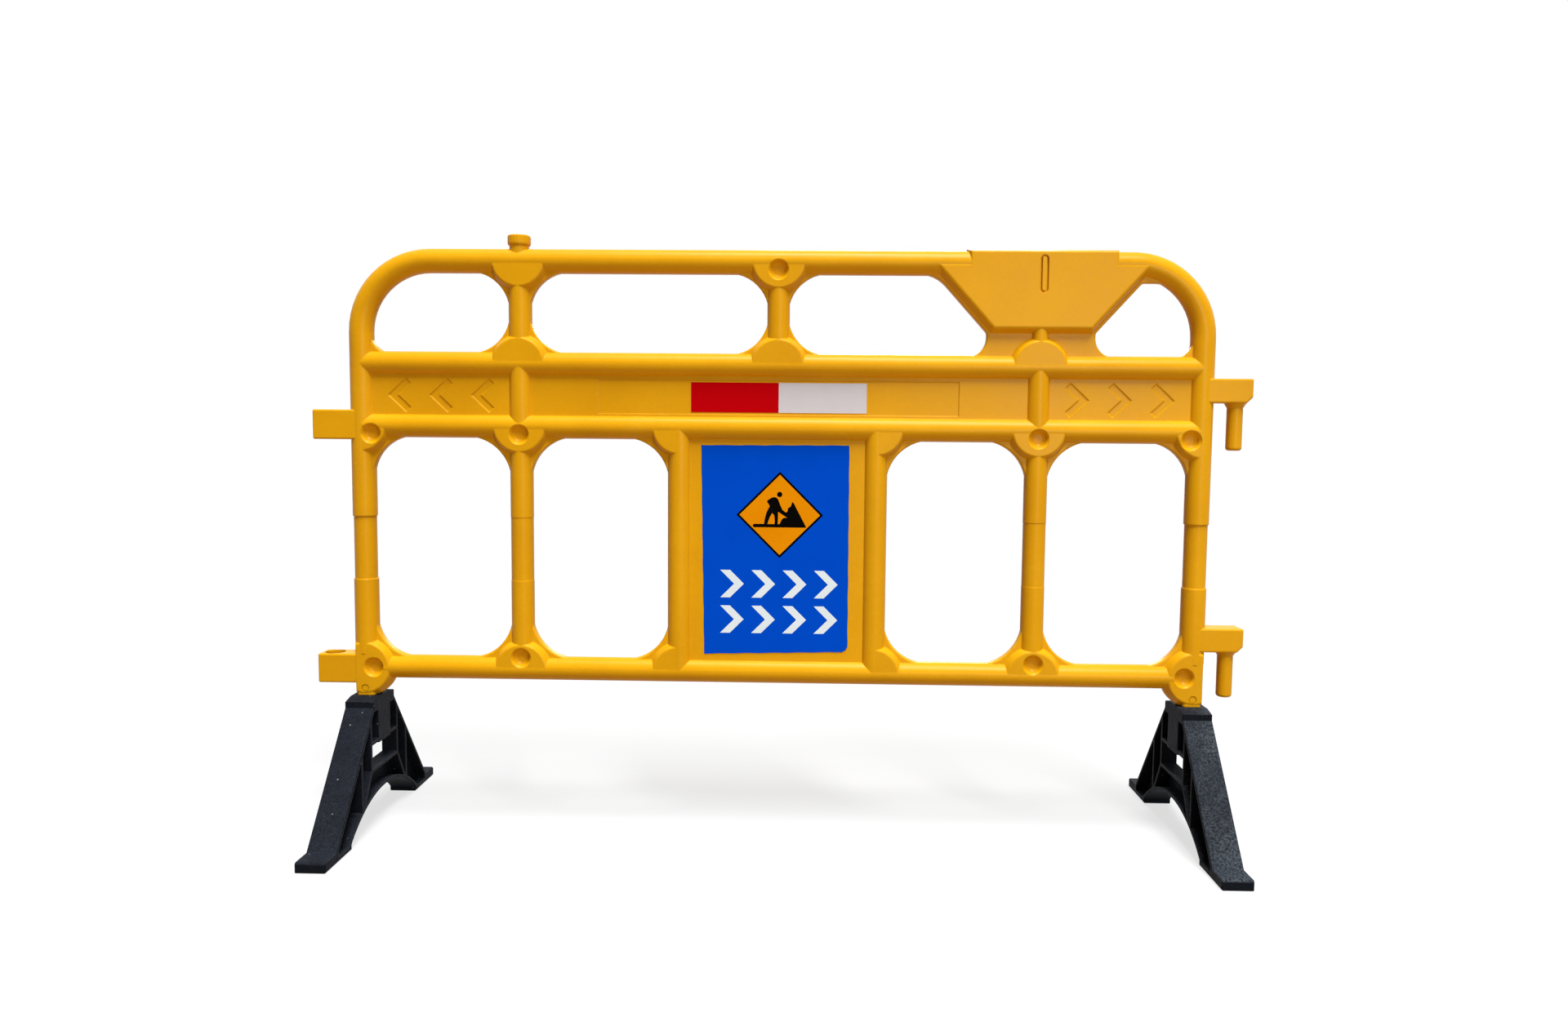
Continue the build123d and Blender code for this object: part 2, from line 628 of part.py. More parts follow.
def foot_cells(ribbed):
    """The hollows of a foot's side, inside its flanges and clear of the post socket."""
    run = FOOT_SLOPE_END_Y - FOOT_SHOULDER_Y
    drop = FOOT_SHOULDER_Z - TOE_HEIGHT
    shift = FLANGE * sqrt(run ** 2 + drop ** 2) / drop
    lean = run / drop
    top_y = FOOT_SHOULDER_Y - shift + (FOOT_SHOULDER_Z - COLLAR_BASE_Z) * lean
    toe_y = FOOT_SHOULDER_Y - shift + (FOOT_SHOULDER_Z - TOE_HEIGHT) * lean
    region = Polygon(
        (-top_y, COLLAR_BASE_Z), (top_y, COLLAR_BASE_Z), (toe_y, TOE_HEIGHT), (toe_y, ARCH_SPRING_Z),
        (-toe_y, ARCH_SPRING_Z), (-toe_y, TOE_HEIGHT),
        align=None,
    )
    rise = ARCH_CROWN_Z - ARCH_SPRING_Z
    arch_r = (TOE_INNER_Y ** 2 + rise ** 2) / (2 * rise)
    region -= Pos(0, ARCH_CROWN_Z - arch_r) * Circle(arch_r + FLANGE)
    socket = Rectangle(2 * SOCKET_WALL_HALF_Y, COLLAR_BASE_Z - SOCKET_BASE_Z, align=(Align.CENTER, Align.MIN))
    region -= Pos(0, SOCKET_BASE_Z) * socket
    if ribbed:
        region -= foot_ribs()
    return region.faces()


def rib_between(start, end):
    """A straight rib of even width."""
    line = Line(start, end)
    middle = line @ 0.5
    return Pos(middle.X, middle.Y) * Rot(0, 0, line.tangent_angle_at(0)) * Rectangle(line.length, RIB)


def foot_ribs():
    ribs = [rib_between((-INNER_RIB_Y, CELL_FLOOR_Z), (INNER_RIB_Y, CELL_FLOOR_Z))]
    for side in (-1, 1):
        inner = side * INNER_RIB_Y
        outer = side * OUTER_RIB_Y
        ribs.append(rib_between((inner, CELL_FLOOR_Z - RIB / 2), (inner, COLLAR_BASE_Z)))
        ribs.append(rib_between((outer, ARCH_SPRING_Z), (outer, COLLAR_BASE_Z)))
        ribs.append(rib_between((side * SOCKET_WALL_HALF_Y, LEDGE_Z), (inner, LEDGE_Z)))
        ribs.append(rib_between((inner, CELL_FLOOR_Z), (side * BRACE_FOOT_Y, BRACE_FOOT_Z)))
    return ribs


def foot(side):
    """A ribbed foot; its ribbed face looks towards the middle of the barrier."""
    half = FOOT_WIDTH / 2
    pocket = half - FOOT_WEB / 2
    on_side = Plane.YZ
    solid = extrude(on_side * foot_profile(), amount=half, both=True)
    solid = fillet(solid.edges().filter_by(Axis.X, reverse=True), FOOT_EDGE_R)
    for cell in foot_cells(False):
        solid -= Pos(-half, 0, 0) * extrude(on_side * cell, amount=pocket, dir=(1, 0, 0))
    for cell in foot_cells(True):
        solid -= Pos(half - pocket, 0, 0) * extrude(on_side * cell, amount=pocket, dir=(1, 0, 0))
    opening_z0 = CELL_FLOOR_Z + RIB / 2
    opening = Box(2 * FOOT_WEB, 2 * INNER_RIB_Y - RIB, SOCKET_BASE_Z - opening_z0)
    solid -= Pos(0, 0, (SOCKET_BASE_Z + opening_z0) / 2) * opening
    hole = Box(
        2 * (SPIGOT_HALF_X + SLIDING_GAP), 2 * (SPIGOT_HALF_Y + SLIDING_GAP), FOOT_TOP_Z - SOCKET_FLOOR_Z,
        align=(Align.CENTER, Align.CENTER, Align.MIN))
    solid -= Pos(0, 0, SOCKET_FLOOR_Z) * hole
    turn = 0 if side < 0 else 180
    return Pos(side * FOOT_X, 0, 0) * Rot(0, 0, turn) * solid


def reflector(x0):
    x = x0 + REFLECTOR_LENGTH / 2
    y = -WEB_HALF + TAPE_RECESS_DEPTH - REFLECTOR_THICKNESS / 2
    return Pos(x, y, BAND_Z) * Box(REFLECTOR_LENGTH, REFLECTOR_THICKNESS, REFLECTOR_HEIGHT)


def sign_sheet():
    """A film cut by hand, so its corners aren't square."""
    return plate_in_front(Polygon(*SIGN_CORNERS, align=None), -WEB_HALF - SIGN_THICKNESS, -WEB_HALF)


def main():
    os.makedirs("parts", exist_ok=True)
    nodes = {
        "frame": frame(),
        "fill_cap": fill_cap(),
        "fill_cap_gasket": fill_cap_gasket(),
        "left_drain_plug": drain_plug(-1),
        "right_drain_plug": drain_plug(1),
        "left_drain_seal": drain_seal(-1),
        "right_drain_seal": drain_seal(1),
        "left_foot": foot(-1),
        "right_foot": foot(1),
        "sign_sheet": sign_sheet(),
        "red_reflector": reflector(REFLECTOR_CENTRE_X - REFLECTOR_LENGTH),
        "white_reflector": reflector(REFLECTOR_CENTRE_X),
    }
    for name, solid in nodes.items():
        export_step(solid, f"parts/{name}.step")


main()
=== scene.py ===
from collections import namedtuple
from math import ceil, cos, pi, radians, sin

import bmesh
import bpy
from mathutils import Matrix, Vector


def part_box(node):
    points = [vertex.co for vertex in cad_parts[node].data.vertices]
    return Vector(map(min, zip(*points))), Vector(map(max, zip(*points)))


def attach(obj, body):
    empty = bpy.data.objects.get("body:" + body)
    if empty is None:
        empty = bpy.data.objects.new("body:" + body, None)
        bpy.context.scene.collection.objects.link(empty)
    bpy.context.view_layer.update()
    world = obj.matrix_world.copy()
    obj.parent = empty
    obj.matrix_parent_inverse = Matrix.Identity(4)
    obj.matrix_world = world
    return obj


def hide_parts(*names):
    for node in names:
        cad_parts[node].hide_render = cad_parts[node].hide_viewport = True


# A yellow road-works barrier on two black feet. Lengths are in metres unless a name ends in _MM.
# X runs along the barrier, Y from the sign side to the back, and Z up.

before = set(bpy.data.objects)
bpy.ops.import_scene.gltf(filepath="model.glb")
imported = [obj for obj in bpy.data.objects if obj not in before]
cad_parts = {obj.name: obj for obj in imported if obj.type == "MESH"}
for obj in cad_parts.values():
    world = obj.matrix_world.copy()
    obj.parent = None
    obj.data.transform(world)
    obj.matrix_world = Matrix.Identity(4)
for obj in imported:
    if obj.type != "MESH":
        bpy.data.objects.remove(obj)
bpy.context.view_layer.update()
MM = 0.001
WELD_DISTANCE = 0.001 * MM

# Camera, solved from the photograph
CAMERA_PLACE = (0.0549, -1.8275, 0.7003)
CAMERA_YAW = radians(1.3447)
CAMERA_PITCH = radians(4.2607)
CAMERA_ROLL = radians(0.5054)
LENS_MM = 24.375
SENSOR_MM = 36.0

# Linear colours
YELLOW_DEEP = (0.640, 0.292, 0.002, 1)
YELLOW_PALE = (0.800, 0.410, 0.005, 1)
YELLOW_RUBBED = (0.86, 0.50, 0.07, 1)
YELLOW_SHEEN = (1.0, 0.92, 0.72, 1)
RUBBER_BLACK = (0.005, 0.006, 0.009, 1)
RUBBER_SLATE = (0.014, 0.017, 0.025, 1)
# Painted highlight along the feet's edges
RUBBER_EDGE_HIGHLIGHT = (0.055, 0.062, 0.070, 1)
RUBBER_DUST = (0.090, 0.108, 0.128, 1)
RUBBER_SPECK = (0.42, 0.44, 0.46, 1)
SEAL_BLACK = (0.012, 0.012, 0.013, 1)
SEAL_GREY = (0.035, 0.035, 0.036, 1)
SIGN_BLUE = (0.0005, 0.078, 0.67, 1)
SIGN_BLUE_DEEP = (0.0005, 0.067, 0.60, 1)
PRINT_WHITE = (0.80, 0.92, 0.99, 1)
PRINT_WHITE_DULL = (0.73, 0.85, 0.93, 1)
PRINT_BLACK = (0.0010, 0.0010, 0.0012, 1)
PRINT_BLACK_WORN = (0.0050, 0.0045, 0.0040, 1)
PRINT_ORANGE = (0.83, 0.300, 0.002, 1)
PRINT_ORANGE_DEEP = (0.75, 0.250, 0.001, 1)
TAPE_RED = (0.52, 0.001, 0.004, 1)
TAPE_RED_CELL = (0.41, 0.001, 0.003, 1)
TAPE_WHITE = (0.64, 0.64, 0.69, 1)
TAPE_WHITE_CELL = (0.50, 0.50, 0.55, 1)
FLOOR_BOUNCE = (0.25, 0.150, 0.070, 1)
FLOOR_SEEN = (0.20, 0.20, 0.20, 1)
ROOM_LIGHT = (0.020, 0.020, 0.020, 1)
WHITE = (1, 1, 1, 1)

# Moulded yellow plastic
PLASTIC_EDGE = 2.5 * MM
SEAM_HALF_WIDTH = 0.3 * MM
SEAM_FADED_OUT = 1.1 * MM
SEAM_HEIGHT = 0.25 * MM
SINK_DEPTH = 0.5 * MM
PEEL_DEPTH = 0.07 * MM
RUB_DEPTH = 0.02 * MM
RUB_STRETCH = (7, 40, 50)

# Crumb rubber, with more dust on the right foot
RUBBER_EDGE = 2.0 * MM
CRUMBS_PER_METRE = 330.0
CRUMB_DEPTH = 0.2 * MM
PIT_DEPTH = 0.55 * MM
DENT_DEPTH = 1.1 * MM
LEFT_FOOT_DUST = 0.12
RIGHT_FOOT_DUST = 0.70

# Seals, film and tape
SEAL_GRAIN_DEPTH = 0.04 * MM
FILM_RIPPLE_DEPTH = 0.10 * MM
FILM_GRAIN_DEPTH = 0.008 * MM
TAPE_CELL_WIDTH = 3.4 * MM
TAPE_CELL_HEIGHT = 5.9 * MM
TAPE_LATTICE_HEIGHT = 0.03 * MM
TAPE_RIPPLE_DEPTH = 0.12 * MM

# Sign: a film on the panel with its print on top, drawn from the middle of the barrier
SIGN_LOW, SIGN_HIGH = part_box("sign_sheet")
SIGN_TOP_MM = ((-130.7, 669.2), (123.5, 670.7))
SIGN_FOOT_MM = ((-124.7, 306.6), (124.4, 312.6))
FILM_THICKNESS = 0.8 * MM
PRINT_STEP = 0.05 * MM
FILM_CELL = 10 * MM
EDGE_WAVE_MM = 0.3
EDGE_WAVE_POWER = 5
SIDE_WAVES = 21
SIDE_WAVE_SHIFT = 2
TOP_WAVES = 17
CLIPPED_CORNER = 3 * MM
DIAMOND_CENTRE_MM = (5.0, 550.0)
DIAMOND_HALF_MM = 74.5
DIAMOND_FIELD_HALF_MM = 69.3
HEAD_CENTRE_MM = (-0.4, 35.4)
HEAD_RADIUS_MM = 4.6
CHEVRON_ROWS_MM = (430.0, 368.0)
CHEVRON_TIPS_MM = (-56.0, -2.0, 52.0, 106.0)
CHEVRON_HALF_HEIGHT_MM = 24.0
CHEVRON_REACH_MM = 24.0
CHEVRON_ARM_MM = 17.0

# Fill cap: a fluted knob over a threaded shank, with a dish in its top (inward from the rim, and down)
CAP_LOW, CAP_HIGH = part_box("fill_cap")
CAP_COLUMNS = 160
CAP_ARC_STEPS = 8
CAP_FLUTES = 20
CAP_FLUTE_DEPTH = 0.5 * MM
CAP_SHANK_RADIUS = 11.2 * MM
CAP_SHANK_STEP = 0.5 * MM
CAP_TIP_CHAMFER = 1.0 * MM
CAP_THREAD_DEPTH = 0.6 * MM
CAP_THREAD_PITCH = 4.0 * MM
CAP_HEAD_HEIGHT = 12.0 * MM
CAP_SKIRT_DROP = 4.8 * MM
CAP_SKIRT_RADIUS = 17.2 * MM
CAP_SKIRT_ROUND = 4.5 * MM
CAP_LIP = 0.3 * MM
CAP_TOP_ROUND = 2.4 * MM
CAP_DISH_MM = ((4.5, 0.1), (6.0, 0.7), (12.0, 0.9))

# Studio: the floor turns plain white between two squared distances from the barrier's middle
FLOOR_HALF = 12.0
FLOOR_DROP = 0.3 * MM
FLOOR_GLOW = 0.70
SHADOW_FULL_M2 = 0.9
SHADOW_GONE_M2 = 4.0
LAMP_TARGET = (0, 0, 0.6)


class Value:
    """A number that changes over a surface: the output of a node, to be used in expressions."""

    def __init__(self, nodes, socket):
        self.nodes = nodes
        self.socket = socket

    def math(self, operation, first, second=0.0):
        return self.nodes.add("Math", {"operation": operation}, {0: first, 1: second})

    def __add__(self, other):
        return self.math("ADD", self, other)

    def __radd__(self, other):
        return self.math("ADD", other, self)

    def __sub__(self, other):
        return self.math("SUBTRACT", self, other)

    def __rsub__(self, other):
        return self.math("SUBTRACT", other, self)

    def __mul__(self, other):
        return self.math("MULTIPLY", self, other)

    def __rmul__(self, other):
        return self.math("MULTIPLY", other, self)

    def __abs__(self):
        return self.math("ABSOLUTE", self)

    def fraction(self):
        return self.math("FRACT", self)

    def greater(self, other):
        return self.math("MAXIMUM", self, other)

    def swing(self, amount):
        """What a noise adds and takes away on both sides of its middle."""
        return (self - 0.5) * amount


class Nodes:
    """A node tree that is filled one call at a time."""

    def __init__(self, tree):
        self.tree = tree
        tree.nodes.clear()

    def add(self, kind, settings, sockets, out=0):
        """A new node: its settings first, then a value or a link for each socket. Gives one output."""
        node = self.tree.nodes.new("ShaderNode" + kind)
        for name, setting in settings.items():
            setattr(node, name, setting)
        for name, value in sockets.items():
            if isinstance(value, Value):
                self.tree.links.new(value.socket, node.inputs[name])
            else:
                node.inputs[name].default_value = value
        if node.outputs:
            return Value(self, node.outputs[out])

    def place(self):
        """Where a point lies in the barrier's own frame."""
        return self.add("TexCoord", {}, {}, "Object")

    def along(self, place, axis):
        return self.add("SeparateXYZ", {}, {"Vector": place}, axis)

    def stretched(self, place, factors):
        return self.add("VectorMath", {"operation": "MULTIPLY"}, {0: place, 1: factors})

    def noise(self, place, scale, detail):
        return self.add("TexNoise", {}, {"Vector": place, "Scale": scale, "Detail": detail}, "Fac")

    def rise(self, value, low, high):
        """Goes smoothly from 0 to 1 while value goes from low to high."""
        limits = {"Value": value, "From Min": low, "From Max": high}
        return self.add("MapRange", {"interpolation_type": "SMOOTHSTEP"}, limits)

    def mix(self, amount, first, second):
        """A colour between two others."""
        return self.add("Mix", {"data_type": "RGBA"}, {0: amount, 6: first, 7: second}, 2)

    def soft_edges(self, radius):
        """The surface's normal with its edges rounded."""
        return self.add("Bevel", {"samples": 6}, {"Radius": radius}, "Normal")

    def bump(self, height, **more):
        """A normal from a height in metres."""
        return self.add("Bump", {}, {"Height": height, "Distance": 1.0, **more}, "Normal")

    def seen(self):
        """1 for what the camera sees, also in a reflection or through glass."""
        camera = self.add("LightPath", {}, {}, "Is Camera Ray")
        glossy = self.add("LightPath", {}, {}, "Is Glossy Ray")
        through = self.add("LightPath", {}, {}, "Is Transmission Ray")
        return camera.greater(glossy).greater(through)


class Finish(Nodes):
    """A material in the making."""

    def __init__(self, name):
        self.material = bpy.data.materials.new(name)
        self.material.use_nodes = True
        super().__init__(self.material.node_tree)

    def surface(self, shader):
        self.add("OutputMaterial", {}, {"Surface": shader})
        return self.material

    def coated(self, colour, roughness, normal, **constants):
        sockets = {"Base Color": colour, "Roughness": roughness, "Normal": normal, **constants}
        return self.surface(self.add("BsdfPrincipled", {}, sockets, "BSDF"))


def moulded_yellow():
    """Satin polyethylene: cloudy, with orange peel, sink marks, light rubs and the mould's seam."""
    finish = Finish("moulded_yellow")
    place = finish.place()
    cloud = finish.noise(place, scale=8, detail=3)
    grain = finish.noise(place, scale=180, detail=2)
    colour = finish.mix(0.5 + cloud.swing(0.9) + grain.swing(0.3), YELLOW_DEEP, YELLOW_PALE)
    scratches = finish.noise(finish.stretched(place, RUB_STRETCH), scale=6, detail=4)
    off_scratch = finish.rise(abs(scratches - 0.5), low=0.002, high=0.014)
    rubbed_area = finish.rise(finish.noise(place, scale=6, detail=2), low=0.56, high=0.72)
    rub = (1 - off_scratch) * rubbed_area
    off_middle = abs(finish.along(place, "Y"))
    seam = 1 - finish.rise(off_middle, low=SEAM_HALF_WIDTH, high=SEAM_FADED_OUT)
    colour = finish.mix(rub * 0.35 + seam * 0.12, colour, YELLOW_RUBBED)
    roughness = 0.34 + cloud.swing(0.16) + grain.swing(0.12) + rub * 0.12
    sink = finish.noise(place, scale=22, detail=2) * SINK_DEPTH
    peel = finish.noise(place, scale=420, detail=3) * PEEL_DEPTH
    height = sink + peel + seam * SEAM_HEIGHT - rub * RUB_DEPTH
    normal = finish.bump(height, Normal=finish.soft_edges(PLASTIC_EDGE))
    sheen = {"Specular IOR Level": 0.14, "Specular Tint": YELLOW_SHEEN}
    return finish.coated(colour, roughness, normal, **sheen)


def crumb_rubber(name, dusty):
    """Recycled rubber pressed from crumbs: slate black, pitted, with pale specks and dusty slopes;
    paler upward slopes and lighter edges are painted light, darker sides painted shade.
    """
    finish = Finish(name)
    place = finish.place()
    crumb = {"Vector": place, "Scale": CRUMBS_PER_METRE}
    distance = finish.add("TexVoronoi", {}, crumb, "Distance")
    tint = finish.along(finish.add("TexVoronoi", {}, crumb, "Color"), "X")
    cloud = finish.noise(place, scale=14, detail=4)
    normal = finish.add("NewGeometry", {}, {}, "Normal")
    sloping = finish.rise(finish.along(normal, "Z"), low=0.1, high=0.6)
    # Painted light and shade: upward slopes turn paler and the sides darker, on top of the crumbs' own
    # random tone
    tone_and_painted_top_light = 0.1 + sloping * 0.35 + cloud.swing(1.2) + tint.swing(0.5)
    colour = finish.mix(tone_and_painted_top_light, RUBBER_BLACK, RUBBER_SLATE)
    soft_edges = finish.soft_edges(RUBBER_EDGE)
    normals = {0: soft_edges, 1: normal}
    # Painted highlight: the colour turns paler along every edge, where the rounded normal leaves the
    # true one
    along_edge = 1 - finish.add("VectorMath", {"operation": "DOT_PRODUCT"}, normals, "Value")
    painted_edge_highlight = finish.rise(along_edge, low=0.02, high=0.2)
    colour = finish.mix(painted_edge_highlight * 0.6, colour, RUBBER_EDGE_HIGHLIGHT)
    near_crumb = 1 - finish.rise(distance, low=0.25, high=0.4)
    speck = finish.rise(tint, low=0.995, high=0.998) * near_crumb
    settled = sloping * finish.rise(finish.noise(place, scale=11, detail=3), low=0.25, high=0.65)
    powder = finish.rise(finish.noise(place, scale=300, detail=5), low=0.30, high=0.72)
    dust = settled * powder * dusty
    colour = finish.mix(dust, colour, RUBBER_DUST)
    colour = finish.mix(speck * 0.8, colour, RUBBER_SPECK)
    roughness = 0.58 + cloud.swing(0.3) + dust * 0.12
    pits = finish.noise(place, scale=240, detail=5) * PIT_DEPTH
    dents = finish.noise(place, scale=45, detail=3) * DENT_DEPTH
    rough_face = finish.bump(pits + dents - distance * CRUMB_DEPTH, Normal=soft_edges)
    return finish.coated(colour, roughness, rough_face, **{"Specular IOR Level": 0.04})


def seal_rubber():
    """Plain black rubber with a fine grain."""
    finish = Finish("seal_rubber")
    grain = finish.noise(finish.place(), scale=700, detail=3)
    colour = finish.mix(grain, SEAL_BLACK, SEAL_GREY)
    return finish.coated(colour, 0.55 + grain * 0.2, finish.bump(grain * SEAL_GRAIN_DEPTH))


def printed_film(name, colour, deep_colour):
    """Ink on a plastic film: nearly even, a little cloudy, with ripples and an uneven gloss."""
    finish = Finish(name)
    place = finish.place()
    cloud = finish.noise(place, scale=16, detail=3)
    grain = finish.noise(place, scale=900, detail=2)
    ink = finish.mix(0.5 + cloud.swing(1.2) + grain.swing(0.5), deep_colour, colour)
    roughness = 0.36 + cloud.swing(0.2) + grain.swing(0.1)
    ripple = finish.noise(place, scale=38, detail=2) * FILM_RIPPLE_DEPTH
    normal = finish.bump(ripple + grain * FILM_GRAIN_DEPTH)
    sheen = {"Specular IOR Level": 0.09, "Specular Tint": colour}
    return finish.coated(ink, roughness, normal, **sheen)


def reflective_tape(name, colour, cell_colour):
    """Prismatic tape: a fine lattice of cells under a clear glossy face."""
    finish = Finish(name)
    place = finish.place()
    x = finish.along(place, "X") * (1 / TAPE_CELL_WIDTH)
    z = finish.along(place, "Z") * (1 / TAPE_CELL_HEIGHT)
    rising = abs((x + z).fraction() - 0.5)
    falling = abs((x - z).fraction() - 0.5)
    lattice = finish.rise(rising.greater(falling), low=0.40, high=0.50)
    cloud = finish.noise(place, scale=30, detail=3)
    prism = finish.noise(place, scale=1100, detail=2)
    face = finish.mix(lattice * 0.45 + prism.swing(0.6) + cloud.swing(0.6), colour, cell_colour)
    ripple = finish.noise(place, scale=26, detail=2) * TAPE_RIPPLE_DEPTH
    normal = finish.bump(lattice * TAPE_LATTICE_HEIGHT + ripple)
    sheen = {"Specular IOR Level": 0.12, "Specular Tint": colour}
    return finish.coated(face, 0.30 + prism.swing(0.2), normal, **sheen)


def pale_floor():
    """White to the eye with the barrier's shadow on it, and warm ground to the light that bounces."""
    finish = Finish("pale_floor")
    place = finish.place()
    x = finish.along(place, "X")
    y = finish.along(place, "Y")
    far_off = finish.rise(x * x + y * y, low=SHADOW_FULL_M2, high=SHADOW_GONE_M2)
    bounce = finish.add("BsdfDiffuse", {}, {"Color": FLOOR_BOUNCE})
    shadowed = finish.add("BsdfDiffuse", {}, {"Color": FLOOR_SEEN})
    glow = finish.add("Emission", {}, {"Color": WHITE, "Strength": FLOOR_GLOW})
    lit = finish.add("AddShader", {}, {0: shadowed, 1: glow})
    white = finish.add("Emission", {}, {"Color": WHITE, "Strength": 1.0})
    in_view = finish.add("MixShader", {}, {0: far_off, 1: lit, 2: white})
    return finish.surface(finish.add("MixShader", {}, {0: finish.seen(), 1: bounce, 2: in_view}))


def finished_object(name, shape, material):
    """Puts a mesh or a curve into the scene with its material."""
    piece = bpy.data.objects.new(name, shape)
    bpy.context.scene.collection.objects.link(piece)
    shape.materials.append(material)
    return piece


def mesh_from_grid(name, rows, closed, smooth):
    """A mesh over rows of points; closed joins each row's last point to its first.

    Points that fall together, as at the middle of a disc, become one.
    """
    shape = bmesh.new()
    grid = [[shape.verts.new(point) for point in row] for row in rows]
    columns = len(rows[0])
    for lower, upper in zip(grid, grid[1:]):
        for i in range(columns if closed else columns - 1):
            j = (i + 1) % columns
            face = shape.faces.new((lower[i], lower[j], upper[j], upper[i]))
            face.smooth = smooth
    bmesh.ops.remove_doubles(shape, verts=shape.verts, dist=WELD_DISTANCE)
    mesh = bpy.data.meshes.new(name)
    shape.to_mesh(mesh)
    shape.free()
    return mesh


# One ring of the cap: its radius and height, and its share of the flutes and of the thread
Ring = namedtuple("Ring", "radius height flutes thread", defaults=(0, 0))


def cap_profile():
    """The cap's rings from the middle of the shank's tip to the middle of the knob's top."""
    head = CAP_HIGH.z - CAP_HEAD_HEIGHT
    skirt = head - CAP_SKIRT_DROP
    rim = (CAP_HIGH.x - CAP_LOW.x) / 2
    lip = CAP_SKIRT_RADIUS + CAP_LIP
    shank_rows = ceil((head - CAP_LOW.z) / CAP_SHANK_STEP)
    rings = [Ring(0.0, CAP_LOW.z), Ring(CAP_SHANK_RADIUS - CAP_TIP_CHAMFER, CAP_LOW.z)]
    for i in range(1, shank_rows + 1):
        height = CAP_LOW.z + i * (head - CAP_LOW.z) / shank_rows
        rings.append(Ring(CAP_SHANK_RADIUS, height, thread=1))
    rings += [Ring(CAP_SKIRT_RADIUS, head), Ring(CAP_SKIRT_RADIUS, skirt + CAP_LIP), Ring(lip, skirt)]
    for i in range(1, CAP_ARC_STEPS + 1):
        share = i / CAP_ARC_STEPS
        turn = share * pi / 2
        radius = lip + (rim - lip) * sin(turn)
        height = skirt + CAP_SKIRT_ROUND * (1 - cos(turn))
        rings.append(Ring(radius, height, flutes=share))
    for i in range(CAP_ARC_STEPS):
        share = i / (CAP_ARC_STEPS - 1)
        turn = share * pi / 2
        radius = rim - CAP_TOP_ROUND * (1 - cos(turn))
        height = CAP_HIGH.z - CAP_TOP_ROUND * (1 - sin(turn))
        rings.append(Ring(radius, height, flutes=1 - share))
    for inward, down in CAP_DISH_MM:
        rings.append(Ring(rim - inward * MM, CAP_HIGH.z - down * MM))
    rings.append(Ring(0.0, rings[-1].height))
    return rings


def cap_point(ring, turn):
    """One point of the cap: flutes cut into the knob, and a thread that winds round the shank."""
    flute = (0.5 + 0.5 * cos(CAP_FLUTES * turn)) ** 2
    thread = max(0.0, cos(2 * pi * ring.height / CAP_THREAD_PITCH - turn))
    cut = CAP_FLUTE_DEPTH * ring.flutes * flute
    radius = ring.radius - cut + CAP_THREAD_DEPTH * ring.thread * thread
    middle = (CAP_LOW + CAP_HIGH) / 2
    return (middle.x + radius * cos(turn), middle.y + radius * sin(turn), ring.height)


def fill_cap(material):
    turns = [2 * pi * i / CAP_COLUMNS for i in range(CAP_COLUMNS)]
    rows = [[cap_point(ring, turn) for turn in turns] for ring in cap_profile()]
    mesh = mesh_from_grid("fill_cap_knob", rows, closed=True, smooth=True)
    cap = finished_object("fill_cap_knob", mesh, material)
    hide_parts("fill_cap")
    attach(cap, "cap")


def between(start, end, share):
    """A point on the straight line between two others."""
    return [a + (b - a) * share for a, b in zip(start, end)]


def film_point(across, up):
    """A point of the film at shares of its width and height. Its hand-cut edges wave a little."""
    x, z = between(between(*SIGN_FOOT_MM, across), between(*SIGN_TOP_MM, across), up)
    side = 2 * across - 1
    level = 2 * up - 1
    side_wave = side ** EDGE_WAVE_POWER * sin(SIDE_WAVES * level + SIDE_WAVE_SHIFT * side)
    top_wave = level ** EDGE_WAVE_POWER * sin(TOP_WAVES * side + level)
    x += EDGE_WAVE_MM * (side_wave - side)
    z += EDGE_WAVE_MM * (top_wave - level)
    return x * MM, z * MM


def sign_film(material):
    """The blue sheet, as a thin plate with cut edges and one clipped corner."""
    columns = ceil((SIGN_HIGH.x - SIGN_LOW.x) / FILM_CELL)
    levels = ceil((SIGN_HIGH.z - SIGN_LOW.z) / FILM_CELL)
    rows = []
    for i in range(levels + 1):
        row = []
        for j in range(columns + 1):
            x, z = film_point(j / columns, i / levels)
            if (i, j) == (0, columns):
                x, z = x - CLIPPED_CORNER, z + CLIPPED_CORNER
            row.append((x, SIGN_HIGH.y, z))
        rows.append(row)
    mesh = mesh_from_grid("sign_film", rows, closed=False, smooth=False)
    film = finished_object("sign_film", mesh, material)
    body = film.modifiers.new("thickness", "SOLIDIFY")
    body.thickness = FILM_THICKNESS
    body.offset = 1
    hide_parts("sign_sheet")
    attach(film, "barrier")


def printed(name, outlines, layer, material):
    """Ink shapes on the film. An outline is a list of points in millimetres, each sharp or smooth."""
    curve = bpy.data.curves.new(name, "CURVE")
    curve.dimensions = "2D"
    curve.fill_mode = "BOTH"
    curve.resolution_u = 10
    curve.extrude = PRINT_STEP / 2
    for outline in outlines:
        spline = curve.splines.new("BEZIER")
        spline.bezier_points.add(len(outline) - 1)
        spline.use_cyclic_u = True
        for point, (x, z, *smooth) in zip(spline.bezier_points, outline):
            point.co = (x * MM, z * MM, 0)
            handle = "AUTO" if smooth else "VECTOR"
            point.handle_left_type = handle
            point.handle_right_type = handle
    piece = finished_object(name, curve, material)
    middle_of_ink = SIGN_HIGH.y - FILM_THICKNESS - (layer + 0.5) * PRINT_STEP
    upright = Matrix.Rotation(pi / 2, 4, "X")
    piece.matrix_world = Matrix.Translation((0, middle_of_ink, 0)) @ upright
    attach(piece, "barrier")


def diamond(half):
    x, z = DIAMOND_CENTRE_MM
    return [(x, z + half), (x + half, z), (x, z - half), (x - half, z)]


def on_diamond(points):
    """Points drawn from the diamond's middle."""
    middle_x, middle_z = DIAMOND_CENTRE_MM
    return [(middle_x + x, middle_z + z, *smooth) for x, z, *smooth in points]


